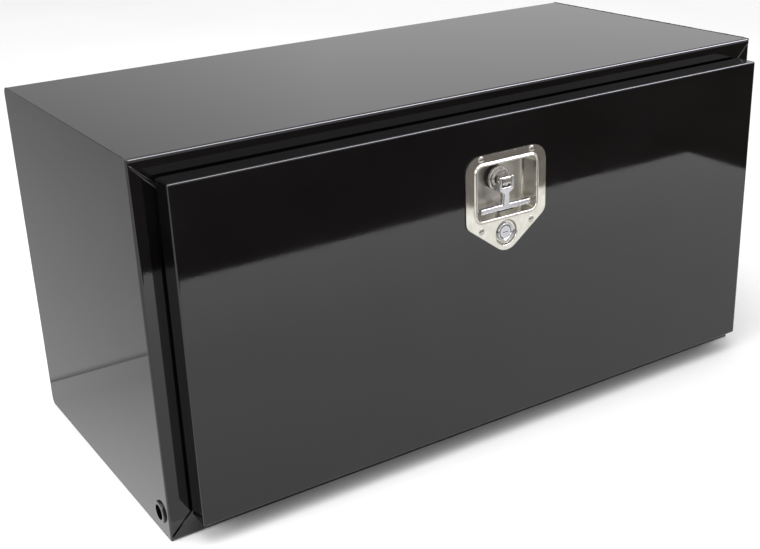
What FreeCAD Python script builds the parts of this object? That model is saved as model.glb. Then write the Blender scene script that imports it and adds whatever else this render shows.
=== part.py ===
"""Underbody truck tool box: a folded steel box with a bottom-hinged door and a folding T-handle latch.

Frame, in millimetres: +Z up, the door faces -Y, X runs along the box. The origin is the middle of
the box's flat underside. Depths on front pieces are counted outwards from the front flange plane.
"""

import FreeCAD, Part
import math
import os

import Sketcher

SIZES = (
    # The box body: 36 x 18 x 18 inch class, folded from 14 gauge steel
    ("box_width", 914.4),
    ("box_height", 457.2),
    ("body_depth", 421.2),
    ("body_wall", 1.9),
    ("front_bend", 4.0),
    ("back_bend", 9.0),
    ("flange_width", 45.0),
    ("mitre_shift", 6.5),
    ("mitre_overrun", 12.0),
    ("upper_mitre_gap", 0.4),
    ("lower_mitre_gap", 1.8),
    # Collared port near the front bottom corner of each end
    ("port_back", 25.0),
    ("port_up", 28.2),
    ("port_collar_radius", 14.0),
    ("port_collar_proud", 2.4),
    ("port_collar_round", 1.4),
    ("port_barrel_radius", 11.2),
    ("port_bore_radius", 9.4),
    ("port_barrel_inside", 5.0),
    # Door pan, its inner panel and its seal
    ("door_proud", 36.0),
    ("door_pan_depth", 30.0),
    ("door_wall", 1.5),
    ("door_bend", 2.2),
    ("door_corner_round", 2.0),
    ("door_side_margin", 27.0),
    ("door_bottom_margin", 29.0),
    ("door_top_margin", 22.6),
    ("seal_inset", 31.0),
    ("seal_bottom_inset", 33.0),
    ("seal_width", 10.0),
    ("seal_flange_gap", 0.4),
    ("seal_round", 2.2),
    # Piano hinge under the door
    ("hinge_length", 792.0),
    ("hinge_segments", 33),
    ("hinge_knuckle_radius", 3.5),
    ("hinge_pin_radius", 1.5),
    ("hinge_pin_end", 1.5),
    ("hinge_bore_radius", 1.56),
    ("hinge_axis_height", 25.5),
    ("hinge_leaf", 1.5),
    ("hinge_leaf_bottom", 6.0),
    ("hinge_leaf_reach", 30.0),
    ("hinge_leaf_clearance", 0.6),
    ("hinge_knuckle_gap", 0.3),
    ("hinge_rivet_count", 8),
    ("hinge_rivet_pitch", 105.0),
    ("hinge_rivet_height", 13.0),
    ("hinge_rivet_forward", 19.0),
    ("hinge_rivet_stagger", 20.0),
    ("rivet_radius", 2.0),
    ("rivet_head_radius", 3.4),
    ("rivet_head", 1.4),
    ("rivet_head_round", 1.0),
    ("rivet_tail_radius", 2.9),
    ("rivet_tail", 1.2),
    # Latch dish: a pressed stainless plate with a deep well and a small round recess for the lock
    ("latch_height", 352.0),
    ("gasket", 0.6),
    ("gasket_inset", 1.0),
    ("dish_wall", 1.2),
    ("plate_half_width", 60.8),
    ("plate_top", 38.0),
    ("plate_shoulder", -48.5),
    ("plate_tip", -94.0),
    ("plate_top_radius", 21.0),
    ("plate_shoulder_radius", 14.0),
    ("plate_tip_radius", 22.0),
    ("well_half_width", 44.8),
    ("well_top", 24.3),
    ("well_bottom", -43.3),
    ("well_depth", 25.6),
    ("well_radius", 8.0),
    ("well_rim", 2.4),
    ("well_rim_proud", 1.0),
    ("dish_gap", 1.0),
    ("latch_rivet_across", 38.3),
    ("latch_rivet_top", 33.2),
    ("latch_rivet_bottom", -56.8),
    # Lock
    ("lock_drop", -66.0),
    ("lock_recess_radius", 16.0),
    ("lock_recess_depth", 4.0),
    ("lock_flange_radius", 12.0),
    ("lock_flange", 1.2),
    ("lock_barrel_radius", 9.5),
    ("lock_barrel", 8.8),
    ("lock_nut_flats", 25.0),
    ("lock_nut", 3.0),
    ("plug_face_radius", 7.8),
    ("plug_proud", 0.6),
    ("plug_radius", 6.0),
    ("key_slot_length", 8.0),
    ("key_slot_width", 1.3),
    ("key_slot_depth", 4.0),
    ("cam_length", 29.0),
    ("cam_half_width", 4.0),
    ("cam", 2.5),
    ("cam_boss_half_length", 6.4),
    ("cam_boss_half_width", 5.6),
    ("cam_tip_round", 2.4),
    ("cam_stud_radius", 2.1),
    ("cam_gap", 0.2),
    ("cam_slot_gap", 0.7),
    ("cam_slot_reach", 21.5),
    ("cam_screw_radius", 4.5),
    ("cam_screw_head", 2.2),
    ("cam_screw_round", 0.8),
    # Spindle through the dish
    ("bushing_front", 11.5),
    ("bushing_flange_radius", 16.0),
    ("bushing_flange", 4.0),
    ("bushing_chamfer", 1.8),
    ("bushing_barrel_radius", 12.0),
    ("bushing_barrel_end", 33.0),
    ("bushing_nut_flats", 32.0),
    ("bushing_nut", 5.0),
    ("washer_radius", 15.0),
    ("shaft_radius", 6.0),
    ("shaft_hub_radius", 9.5),
    ("shaft_hub", 2.4),
    ("tongue_half_width", 6.3),
    ("tongue_half_height", 5.5),
    ("tongue_front", -2.5),
    ("tongue_round", 3.7),
    ("pawl_gap", 1.0),
    ("pawl", 4.0),
    ("pawl_square", 8.4),
    ("pawl_half_width", 11.0),
    ("pawl_reach", 73.0),
    ("pawl_round", 8.8),
    ("stud_radius", 4.0),
    ("stud_length", 11.0),
    ("pawl_washer_radius", 9.5),
    ("pawl_washer", 1.5),
    ("pawl_nut_flats", 13.0),
    ("pawl_nut", 6.5),
    # T-handle
    ("handle_pin_radius", 2.0),
    ("handle_pin_half", 12.0),
    ("handle_pin_round", 0.8),
    ("handle_pin_depth", 1.3),
    ("handle_half", 3.5),
    ("bar_half_length", 38.0),
    ("bar_half_height", 3.4),
    ("bar_end_round", 3.0),
    ("bar_drop", -33.0),
    ("stem_half_width", 5.3),
    ("fork_half_width", 10.8),
    ("fork_half_gap", 6.6),
    ("fork_top", 5.5),
    ("fork_root", -8.0),
    ("fork_shoulder_top", -11.5),
    ("fork_shoulder_bottom", -15.5),
    ("fork_round", 3.1),
    ("hook_back", 17.0),
    ("hook_wall", 2.4),
    ("hook_half_width", 3.0),
    ("hook_top", -31.0),
    ("hook_under", -35.6),
    ("hook_tip", -39.0),
    # Fits: a turning shaft in its bore, a piece in its hole, and one face against another
    ("running_gap", 0.06),
    ("hole_gap", 0.1),
    ("face_gap", 0.05),
    # How far a cut runs past the metal, and how far a piece's own parts run into each other
    ("overcut", 1.0),
    ("overlap", 0.5),
)

FRONT = "-sheet.body_depth / 2"
DOOR_FACE = "-sheet.body_depth / 2 - sheet.door_proud"
PLATE_FRONT = "(sheet.gasket + sheet.dish_wall)"
WELL_FLOOR = "(sheet.well_depth - " + PLATE_FRONT + ")"
RECESS_FLOOR = "(sheet.lock_recess_depth - " + PLATE_FRONT + ")"
CAM_FRONT = "(" + RECESS_FLOOR + " + sheet.lock_barrel + sheet.cam_gap)"
PAWL_FRONT = "(sheet.door_proud + sheet.body_wall + sheet.pawl_gap)"
HINGE_PITCH = "sheet.hinge_length / sheet.hinge_segments"

# Drawing the pointed plate in by one millimetre lifts its tip and its shoulders by these
TIP_LIFT = "1.25"
SHOULDER_LIFT = "0.5"
# Edges within this of a corner of the plate belong to that corner
CORNER_BAND = 3.0
# Two lengths closer than this are the same
TOLERANCE = 0.01

doc = FreeCAD.newDocument("truck_tool_box")
sheet = doc.addObject("Spreadsheet::Sheet", "sheet")
for row, (alias, value) in enumerate(SIZES, start=1):
    sheet.set("A%d" % row, alias)
    sheet.set("B%d" % row, str(value))
    sheet.setAlias("B%d" % row, alias)
doc.recompute()
nodes = []


def size(alias):
    """One driving dimension, as a plain number."""
    return float(sheet.get(alias))


def new_node(label, y="0", z="0"):
    """A body whose label names its file; its own frame stands at (0, y, z)."""
    body = doc.addObject("PartDesign::Body", label)
    body.Label = label
    body.setExpression("Placement.Base.y", y)
    body.setExpression("Placement.Base.z", z)
    nodes.append(body)
    return body


def latch_node(label):
    """A body whose frame is the spindle axis where it crosses the door's face."""
    return new_node(label, DOOR_FACE, "sheet.latch_height")


def new_sketch(body, role, offset="0"):
    """A sketch on one of the body's origin planes, moved along that plane's normal."""
    plane = next(f for f in body.Origin.OriginFeatures if f.Role == role)
    sketch = body.newObject("Sketcher::SketchObject", body.Label + "_sketch")
    sketch.AttachmentSupport = (plane, [""])
    sketch.MapMode = "FlatFace"
    sketch.setExpression("AttachmentOffset.Base.z", offset)
    return sketch


def front_sketch(body, behind="0"):
    """A sketch seen from the front (X, Z), lying that far behind the body's own frame."""
    return new_sketch(body, "XZ_Plane", "-(" + behind + ")")


def place(x, y):
    """The point that two expressions of the sheet give now."""
    return FreeCAD.Vector(sheet.evalExpression(x), sheet.evalExpression(y), 0)


def bind(sketch, kind, geometry, end, expression):
    """Ties one coordinate of a point to the sketch's origin by an expression."""
    value = sheet.evalExpression(expression)
    index = sketch.addConstraint(Sketcher.Constraint(kind, -1, 1, geometry, end, value))
    sketch.setExpression("Constraints[%d]" % index, expression)


def bind_point(sketch, geometry, end, x, y):
    bind(sketch, "DistanceX", geometry, end, x)
    bind(sketch, "DistanceY", geometry, end, y)


def draw_polygon(sketch, corners):
    """A closed outline of straight lines through corners given as expressions."""
    first = sketch.GeometryCount
    count = len(corners)
    ring = [place(x, y) for x, y in corners]
    for i in range(count):
        sketch.addGeometry(Part.LineSegment(ring[i], ring[(i + 1) % count]))
    for i in range(count):
        sketch.addConstraint(
            Sketcher.Constraint("Coincident", first + i, 2, first + (i + 1) % count, 1)
        )
    for i, (x, y) in enumerate(corners):
        bind_point(sketch, first + i, 1, x, y)


def draw_rectangle(sketch, x_low, x_high, y_low, y_high):
    draw_polygon(sketch, [(x_low, y_low), (x_high, y_low), (x_high, y_high), (x_low, y_high)])


def draw_rounded_rectangle(sketch, x_low, x_high, y_low, y_high, radius):
    """A rectangle with equal round corners: four lines and the four arcs between them."""
    left, right = "(%s) + (%s)" % (x_low, radius), "(%s) - (%s)" % (x_high, radius)
    bottom, top = "(%s) + (%s)" % (y_low, radius), "(%s) - (%s)" % (y_high, radius)
    sides = (
        ((left, y_low), (right, y_low)),
        ((x_high, bottom), (x_high, top)),
        ((right, y_high), (left, y_high)),
        ((x_low, top), (x_low, bottom)),
    )
    centres = ((right, bottom), (right, top), (left, top), (left, bottom))
    first = sketch.GeometryCount
    for start, end in sides:
        line = sketch.addGeometry(Part.LineSegment(place(*start), place(*end)))
        bind_point(sketch, line, 1, *start)
        bind_point(sketch, line, 2, *end)
    for i, centre in enumerate(centres):
        circle = Part.Circle(place(*centre), FreeCAD.Vector(0, 0, 1), sheet.evalExpression(radius))
        quarter = math.pi / 2
        arc = sketch.addGeometry(Part.ArcOfCircle(circle, (i - 1) * quarter, i * quarter))
        sketch.addConstraint(Sketcher.Constraint("Coincident", arc, 1, first + i, 2))
        sketch.addConstraint(Sketcher.Constraint("Coincident", arc, 2, first + (i + 1) % 4, 1))
        bind(sketch, "DistanceX", arc, 3, centre[0])


def draw_circle(sketch, x, y, radius):
    value = sheet.evalExpression(radius)
    circle = sketch.addGeometry(Part.Circle(place(x, y), FreeCAD.Vector(0, 0, 1), value))
    bind_point(sketch, circle, 3, x, y)
    index = sketch.addConstraint(Sketcher.Constraint("Radius", circle, value))
    sketch.setExpression("Constraints[%d]" % index, radius)


def draw_hexagon(sketch, x, y, across_flats):
    corners = []
    for i in range(6):
        turn = math.pi * i / 3
        reach = "(%s) / 2 / cos(30) * " % across_flats
        across = "(%s) + %s(%.6f)" % (x, reach, math.cos(turn))
        up = "(%s) + %s(%.6f)" % (y, reach, math.sin(turn))
        corners.append((across, up))
    draw_polygon(sketch, corners)


def pad(body, sketch, length, reverse=False):
    """Adds material along the sketch's normal; reverse adds it the other way."""
    feature = body.newObject("PartDesign::Pad", body.Label + "_pad")
    feature.Profile = sketch
    feature.Reversed = reverse
    feature.setExpression("Length", length)
    doc.recompute()
    return feature


def pocket(body, sketch, length, reverse=False):
    """Cuts against the sketch's normal; reverse cuts along it. Stops if nothing was cut."""
    before = body.Shape.Volume
    feature = body.newObject("PartDesign::Pocket", body.Label + "_pocket")
    feature.Profile = sketch
    feature.Reversed = reverse
    feature.setExpression("Length", length)
    doc.recompute()
    if body.Shape.Volume > before - TOLERANCE:
        raise RuntimeError("a pocket cut nothing in " + body.Label)
    return feature


def revolve(body, sketch):
    """Turns the sketch's outline once round its horizontal axis."""
    feature = body.newObject("PartDesign::Revolution", body.Label + "_turn")
    feature.Profile = sketch
    feature.ReferenceAxis = (sketch, ["H_Axis"])
    feature.Angle = 360
    doc.recompute()
    return feature


def round_edges(body, radius, wanted):
    """Rounds the edges of the body so far for which wanted(edge) is true."""
    base = body.Tip
    names = ["Edge%d" % (i + 1) for i, edge in enumerate(base.Shape.Edges) if wanted(edge)]
    if not names:
        raise RuntimeError("no edge to round in " + body.Label)
    feature = body.newObject("PartDesign::Fillet", body.Label + "_round")
    feature.Base = (base, names)
    feature.setExpression("Radius", radius)
    doc.recompute()
    return feature


def along(edge, axis):
    """True for a straight edge parallel to axis, which is 0, 1 or 2."""
    if not isinstance(edge.Curve, Part.Line):
        return False
    return near(abs(edge.Curve.Direction[axis]), 1)


def middle(edge):
    return edge.BoundBox.Center


def lies_at(edge, y):
    """True for an edge that lies in the plane at y."""
    return near(edge.BoundBox.YMin, y) and near(edge.BoundBox.YMax, y)


def near(value, target):
    return abs(value - target) < TOLERANCE


def section(edge, axis, *places):
    """True for an edge along axis that crosses one of the places in the plane across it."""
    if not along(edge, axis):
        return False
    across = [value for i, value in enumerate(middle(edge)) if i != axis]
    return any(near(across[0], a) and near(across[1], b) for a, b in places)


# ---------------------------------------------------------------- box body


def mitre_points(side, upper):
    """The mitre line of one front corner: its outer and inner end, as expressions.

    It runs at 45 degrees from the end panel's inner face, a little in from the box's corner.
    """
    edge = "%d * (sheet.box_width / 2 - sheet.body_wall)" % side
    run = "(sheet.flange_width + sheet.mitre_overrun)"
    inner = "%d * (sheet.box_width / 2 - sheet.body_wall - %s)" % (side, run)
    if upper:
        outer_z = "sheet.box_height - sheet.mitre_shift"
        return edge, inner, outer_z, outer_z + " - " + run
    return edge, inner, "sheet.mitre_shift", "sheet.mitre_shift + " + run


def rivet_places():
    """Where the hinge rivets stand along X, evenly about the middle."""
    count = int(size("hinge_rivet_count"))
    return ["%.1f * sheet.hinge_rivet_pitch" % (i - (count - 1) / 2) for i in range(count)]


def door_rivet_places():
    """Where the hinge rivets stand under the door, between those of the body's leaf."""
    return [(x + " + sheet.hinge_rivet_stagger", "-sheet.hinge_rivet_forward") for x in rivet_places()]


def make_shell_wrap():
    """Top, back and bottom folded from one sheet, with a front flange at top and bottom."""
    body = new_node("shell_wrap")
    wall, depth, height = size("body_wall"), size("body_depth"), size("box_height")
    outline = new_sketch(body, "YZ_Plane", "-(sheet.box_width / 2 - sheet.body_wall)")
    front, back = "-sheet.body_depth / 2", "sheet.body_depth / 2"
    top = "sheet.box_height"
    inner_front, inner_back = front + " + sheet.body_wall", back + " - sheet.body_wall"
    draw_polygon(outline, [
        (front, "0"),
        (back, "0"),
        (back, top),
        (front, top),
        (front, top + " - sheet.flange_width"),
        (inner_front, top + " - sheet.flange_width"),
        (inner_front, top + " - sheet.body_wall"),
        (inner_back, top + " - sheet.body_wall"),
        (inner_back, "sheet.body_wall"),
        (inner_front, "sheet.body_wall"),
        (inner_front, "sheet.flange_width"),
        (front, "sheet.flange_width"),
    ])
    pad(body, outline, "sheet.box_width - 2 * sheet.body_wall")
    half = depth / 2
    round_edges(body, "sheet.front_bend", lambda e: section(e, 0, (-half, 0), (-half, height)))
    round_edges(body, "sheet.back_bend", lambda e: section(e, 0, (half, 0), (half, height)))
    inside = ((wall - half, wall), (wall - half, height - wall))
    round_edges(body, "sheet.front_bend - sheet.body_wall", lambda e: section(e, 0, *inside))
    inside_back = ((half - wall, wall), (half - wall, height - wall))
    round_edges(body, "sheet.back_bend - sheet.body_wall", lambda e: section(e, 0, *inside_back))
    mitres = front_sketch(body, front)
    for side in (-1, 1):
        for upper in (False, True):
            edge, inner, outer_z, inner_z = mitre_points(side, upper)
            away = " + sheet.upper_mitre_gap" if upper else " - sheet.lower_mitre_gap"
            draw_polygon(mitres, [
                (edge, outer_z + away),
                (edge, inner_z + away),
                (inner, inner_z + away),
            ])
    pocket(body, mitres, "sheet.body_wall")
    rivets = front_sketch(body, front)
    for x in rivet_places():
        draw_circle(rivets, x, "sheet.hinge_rivet_height", "sheet.rivet_radius")
    pocket(body, rivets, "sheet.body_wall")


def make_end_panel(side):
    """One end of the box with its own front flange; side is -1 left and 1 right."""
    body = new_node("end_panel_left" if side < 0 else "end_panel_right")
    wall, depth, height = size("body_wall"), size("body_depth"), size("box_height")
    plan = new_sketch(body, "XY_Plane")
    outer = "%d * sheet.box_width / 2" % side
    inner = "%d * (sheet.box_width / 2 - sheet.body_wall)" % side
    lip = "%d * (sheet.box_width / 2 - sheet.flange_width)" % side
    front, back = "-sheet.body_depth / 2", "sheet.body_depth / 2"
    draw_polygon(plan, [
        (outer, front),
        (lip, front),
        (lip, front + " + sheet.body_wall"),
        (inner, front + " + sheet.body_wall"),
        (inner, back),
        (outer, back),
    ])
    pad(body, plan, "sheet.box_height")
    bend = side * size("box_width") / 2
    inner_bend = side * (size("box_width") / 2 - wall)
    round_edges(body, "sheet.front_bend", lambda e: section(e, 2, (bend, -depth / 2)))
    round_edges(
        body,
        "sheet.front_bend - sheet.body_wall",
        lambda e: section(e, 2, (inner_bend, wall - depth / 2)),
    )
    round_edges(body, "sheet.back_bend", lambda e: section(e, 0, (depth / 2, 0), (depth / 2, height)))
    mitres = front_sketch(body, front)
    for upper in (False, True):
        edge, lip_edge, outer_z, inner_z = mitre_points(side, upper)
        back_off = " - sheet.upper_mitre_gap" if upper else " + sheet.lower_mitre_gap"
        beyond = "sheet.box_height + sheet.overcut" if upper else "-sheet.overcut"
        draw_polygon(mitres, [
            (edge, outer_z + back_off),
            (lip_edge, inner_z + back_off),
            (lip_edge, beyond),
            (edge, beyond),
        ])
    pocket(body, mitres, "sheet.front_bend")
    port = new_sketch(body, "YZ_Plane", "%d * (sheet.box_width / 2 + sheet.overcut)" % side)
    hole = "sheet.port_barrel_radius + sheet.face_gap"
    draw_circle(port, FRONT + " + sheet.port_back", "sheet.port_up", hole)
    pocket(body, port, "sheet.body_wall + 2 * sheet.overcut", reverse=side < 0)


def make_port_collar(side):
    """Round collar with a through bore, let into the end panel for a cable or a drain."""
    body = new_node("port_collar_left" if side < 0 else "port_collar_right")
    centre = (FRONT + " + sheet.port_back", "sheet.port_up")
    face = "%d * sheet.box_width / 2" % side
    collar = new_sketch(body, "YZ_Plane", face)
    draw_circle(collar, *centre, "sheet.port_collar_radius")
    draw_circle(collar, *centre, "sheet.port_bore_radius")
    pad(body, collar, "sheet.port_collar_proud", reverse=side < 0)
    barrel = new_sketch(body, "YZ_Plane", face)
    draw_circle(barrel, *centre, "sheet.port_barrel_radius")
    draw_circle(barrel, *centre, "sheet.port_bore_radius")
    pad(body, barrel, "sheet.port_barrel_inside", reverse=side > 0)
    outside = side * (size("box_width") / 2 + size("port_collar_proud"))
    rim = size("port_collar_radius")
    round_edges(
        body,
        "sheet.port_collar_round",
        lambda e: near(middle(e).x, outside) and near(e.BoundBox.YLength, 2 * rim),
    )


# ---------------------------------------------------------------- hinge


def hinge_axis():
    """The hinge axis in a (Y, Z) sketch on the front flange plane."""
    return "-sheet.hinge_knuckle_radius", "sheet.hinge_axis_height"


def add_knuckles(body, first, tab, count):
    """Every second knuckle of the hinge, each with the tab that joins it to its leaf."""
    start = "-sheet.hinge_length / 2 + %d * %s" % (first, HINGE_PITCH)
    length = HINGE_PITCH + " - sheet.hinge_knuckle_gap"
    round_part = new_sketch(body, "YZ_Plane", start)
    draw_circle(round_part, *hinge_axis(), "sheet.hinge_knuckle_radius")
    knuckle = pad(body, round_part, length)
    tab_part = new_sketch(body, "YZ_Plane", start)
    draw_rectangle(tab_part, *tab)
    strip = pad(body, tab_part, length)
    row = body.newObject("PartDesign::LinearPattern", body.Label + "_row")
    row.Originals = [knuckle, strip]
    row.Direction = (round_part, ["N_Axis"])
    row.setExpression("Length", "%d * %s" % (2 * (count - 1), HINGE_PITCH))
    row.Occurrences = count
    body.Tip = row
    doc.recompute()
    bore = new_sketch(body, "YZ_Plane", "-sheet.hinge_length / 2 - sheet.overcut")
    draw_circle(bore, *hinge_axis(), "sheet.hinge_bore_radius")
    pocket(body, bore, "sheet.hinge_length + 2 * sheet.overcut", reverse=True)


def make_hinge_leaf_body():
    """Hinge leaf riveted to the lower front flange."""
    body = new_node("hinge_leaf_body", FRONT)
    plate_top = "sheet.hinge_axis_height - sheet.hinge_knuckle_radius - sheet.hinge_leaf_clearance"
    plate = new_sketch(body, "YZ_Plane", "-sheet.hinge_length / 2")
    draw_rectangle(plate, "-sheet.hinge_leaf", "0", "sheet.hinge_leaf_bottom", plate_top)
    pad(body, plate, "sheet.hinge_length")
    tab = ("-sheet.hinge_leaf", "0", plate_top + " - sheet.overlap", "sheet.hinge_axis_height")
    add_knuckles(body, 0, tab, (int(size("hinge_segments")) + 1) // 2)
    holes = front_sketch(body, "-sheet.hinge_leaf")
    for x in rivet_places():
        draw_circle(holes, x, "sheet.hinge_rivet_height", "sheet.rivet_radius")
    pocket(body, holes, "sheet.hinge_leaf")


def make_hinge_leaf_door():
    """Hinge leaf riveted under the door pan."""
    body = new_node("hinge_leaf_door", FRONT)
    upper = "sheet.hinge_axis_height + sheet.hinge_knuckle_radius"
    lower = upper + " - sheet.hinge_leaf"
    plate_back = "-2 * sheet.hinge_knuckle_radius - sheet.hinge_leaf_clearance"
    plate = new_sketch(body, "YZ_Plane", "-sheet.hinge_length / 2")
    draw_rectangle(plate, "-sheet.hinge_leaf_reach", plate_back, lower, upper)
    pad(body, plate, "sheet.hinge_length")
    tab = (plate_back + " - sheet.overlap", "-sheet.hinge_knuckle_radius", lower, upper)
    add_knuckles(body, 1, tab, int(size("hinge_segments")) // 2)
    holes = new_sketch(body, "XY_Plane", upper)
    for x, y in door_rivet_places():
        draw_circle(holes, x, y, "sheet.rivet_radius")
    pocket(body, holes, "sheet.hinge_leaf")


def make_hinge_pin():
    body = new_node("hinge_pin", FRONT)
    profile = new_sketch(body, "YZ_Plane", "-sheet.hinge_length / 2 - sheet.hinge_pin_end")
    draw_circle(profile, *hinge_axis(), "sheet.hinge_pin_radius")
    pad(body, profile, "sheet.hinge_length + 2 * sheet.hinge_pin_end")


def make_rivets(label, frame, places, plane, head_seat, grip, head_up):
    """A group of equal rivets: a low head, a shank through the grip and a set tail.

    head_seat is where the heads bear, along the plane's normal; head_up is true where the heads
    stand on the side that the normal points to.
    """
    body = new_node(label, *frame)
    tail_seat = "%s %s (%s)" % (head_seat, "-" if head_up else "+", grip)
    layers = (
        (head_seat, "sheet.rivet_head_radius", "sheet.rivet_head", not head_up),
        (head_seat, "sheet.rivet_radius", grip, head_up),
        (tail_seat, "sheet.rivet_tail_radius", "sheet.rivet_tail", head_up),
    )
    for offset, radius, length, reverse in layers:
        layer = new_sketch(body, plane, offset)
        for x, y in places:
            draw_circle(layer, x, y, radius)
        pad(body, layer, length, reverse)
    box = body.Tip.Shape.BoundBox
    axis, outer = (1, box.YMin) if plane == "XZ_Plane" else (2, box.ZMin)
    round_edges(body, "sheet.rivet_head_round", lambda e: near(middle(e)[axis], outer))


# ---------------------------------------------------------------- door


def door_edges(inset):
    """The door's rectangle drawn in by inset: low X, high X, low Z, high Z."""
    half = "(sheet.box_width / 2 - sheet.door_side_margin - (%s))" % inset
    low = "sheet.door_bottom_margin + (%s)" % inset
    high = "sheet.box_height - sheet.door_top_margin - (%s)" % inset
    return "-" + half, half, low, high


def make_door_pan():
    """The door's outer skin: a shallow pan folded back on four sides, pierced for the latch."""
    body = new_node("door_pan", FRONT)
    rim = "-(sheet.door_proud - sheet.door_pan_depth)"
    face = "-sheet.door_proud"
    outline = front_sketch(body, rim)
    draw_rectangle(outline, *door_edges("0"))
    pad(body, outline, "sheet.door_pan_depth")
    corner_x = size("box_width") / 2 - size("door_side_margin")

    def at_side(edge):
        return along(edge, 1) and near(abs(middle(edge).x), corner_x)

    round_edges(body, "sheet.door_corner_round", at_side)
    front = -size("door_proud")
    round_edges(body, "sheet.door_bend", lambda e: lies_at(e, front))
    hollow = front_sketch(body, rim)
    draw_rectangle(hollow, *door_edges("sheet.door_wall"))
    pocket(body, hollow, "sheet.door_pan_depth - sheet.door_wall", reverse=True)
    hole = draw_well(front_sketch(body, face), "sheet.dish_wall + sheet.dish_gap", "sheet.latch_height")
    pocket(body, hole, "sheet.door_wall")
    lock_hole = front_sketch(body, face)
    lock_z = "sheet.latch_height + sheet.lock_drop"
    draw_circle(lock_hole, "0", lock_z, "sheet.lock_recess_radius + sheet.dish_gap")
    pocket(body, lock_hole, "sheet.door_wall")
    rivets = front_sketch(body, face)
    for x, z in latch_rivet_places():
        draw_circle(rivets, x, "sheet.latch_height + " + z, "sheet.rivet_radius")
    pocket(body, rivets, "sheet.door_wall")
    under = new_sketch(body, "XY_Plane", "sheet.door_bottom_margin")
    for x, y in door_rivet_places():
        draw_circle(under, x, y, "sheet.rivet_radius")
    pocket(body, under, "sheet.door_wall", reverse=True)


def make_door_inner_panel():
    """Flat sheet that closes the back of the pan, with a round hole behind the latch."""
    body = new_node("door_inner_panel", FRONT)
    panel = front_sketch(body, "-(sheet.door_proud - sheet.door_pan_depth)")
    draw_rectangle(panel, *door_edges("sheet.door_wall + sheet.hole_gap"))
    draw_circle(panel, "0", "sheet.latch_height", "sheet.bushing_nut_flats")
    pad(body, panel, "sheet.door_wall")


def make_door_seal():
    """Rubber loop on the door's inner panel that closes against the box's front flange."""
    body = new_node("door_seal", FRONT)
    loop = front_sketch(body, "-sheet.seal_flange_gap")
    for inset in ("0", "sheet.seal_width"):
        half = "(sheet.box_width / 2 - sheet.seal_inset - %s)" % inset
        low = "sheet.seal_bottom_inset + " + inset
        high = "sheet.box_height - sheet.seal_inset - " + inset
        draw_rectangle(loop, "-" + half, half, low, high)
    pad(body, loop, "sheet.door_proud - sheet.door_pan_depth - sheet.seal_flange_gap")
    face = -size("seal_flange_gap")
    round_edges(body, "sheet.seal_round", lambda e: lies_at(e, face))


# ---------------------------------------------------------------- latch dish and its fasteners


def latch_rivet_places():
    across = "sheet.latch_rivet_across"
    heights = ("sheet.latch_rivet_top", "sheet.latch_rivet_bottom")
    return [(sign + across, z) for z in heights for sign in ("-", "")]


def draw_plate(body, behind, inset):
    """The pointed plate's outline, drawn in by inset, as a front sketch."""
    outline = front_sketch(body, behind)
    side = "(sheet.plate_half_width - (%s))" % inset
    shoulder = "sheet.plate_shoulder + (%s) * %s" % (inset, SHOULDER_LIFT)
    draw_polygon(outline, [
        ("-" + side, "sheet.plate_top - (%s)" % inset),
        ("-" + side, shoulder),
        ("0", "sheet.plate_tip + (%s) * %s" % (inset, TIP_LIFT)),
        (side, shoulder),
        (side, "sheet.plate_top - (%s)" % inset),
    ])
    return outline


def round_plate(body):
    """Rounds the plate's five corners."""
    top, tip = size("plate_top"), size("plate_tip")
    shoulder = size("plate_shoulder")
    wide = size("plate_half_width") - CORNER_BAND

    def at_shoulder(edge):
        level = abs(middle(edge).z - shoulder) < CORNER_BAND
        return along(edge, 1) and level and abs(middle(edge).x) > wide

    def at_top(edge):
        return along(edge, 1) and middle(edge).z > top - CORNER_BAND

    def at_tip(edge):
        return along(edge, 1) and middle(edge).z < tip + CORNER_BAND

    round_edges(body, "sheet.plate_top_radius", at_top)
    round_edges(body, "sheet.plate_tip_radius", at_tip)
    round_edges(body, "sheet.plate_shoulder_radius", at_shoulder)


def draw_well(sketch, outset, centre_z="0"):
    """The well's rounded rectangle, drawn out by outset, on a front sketch."""
    half = "(sheet.well_half_width + (%s))" % outset
    low = "(%s) + sheet.well_bottom - (%s)" % (centre_z, outset)
    high = "(%s) + sheet.well_top + (%s)" % (centre_z, outset)
    draw_rounded_rectangle(sketch, "-" + half, half, low, high, "sheet.well_radius + (%s)" % outset)
    return sketch


def make_latch_gasket():
    """Thin rubber gasket between the latch plate and the door."""
    body = latch_node("latch_gasket")
    pad(body, draw_plate(body, "0", "sheet.gasket_inset"), "sheet.gasket")
    round_plate(body)
    opening = front_sketch(body, "-sheet.gasket")
    pocket(body, draw_well(opening, "sheet.dish_wall + sheet.dish_gap"), "sheet.gasket")
    holes = front_sketch(body, "-sheet.gasket")
    draw_circle(holes, "0", "sheet.lock_drop", "sheet.lock_recess_radius + sheet.dish_gap")
    for x, z in latch_rivet_places():
        draw_circle(holes, x, z, "sheet.rivet_radius")
    pocket(body, holes, "sheet.gasket")


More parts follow.
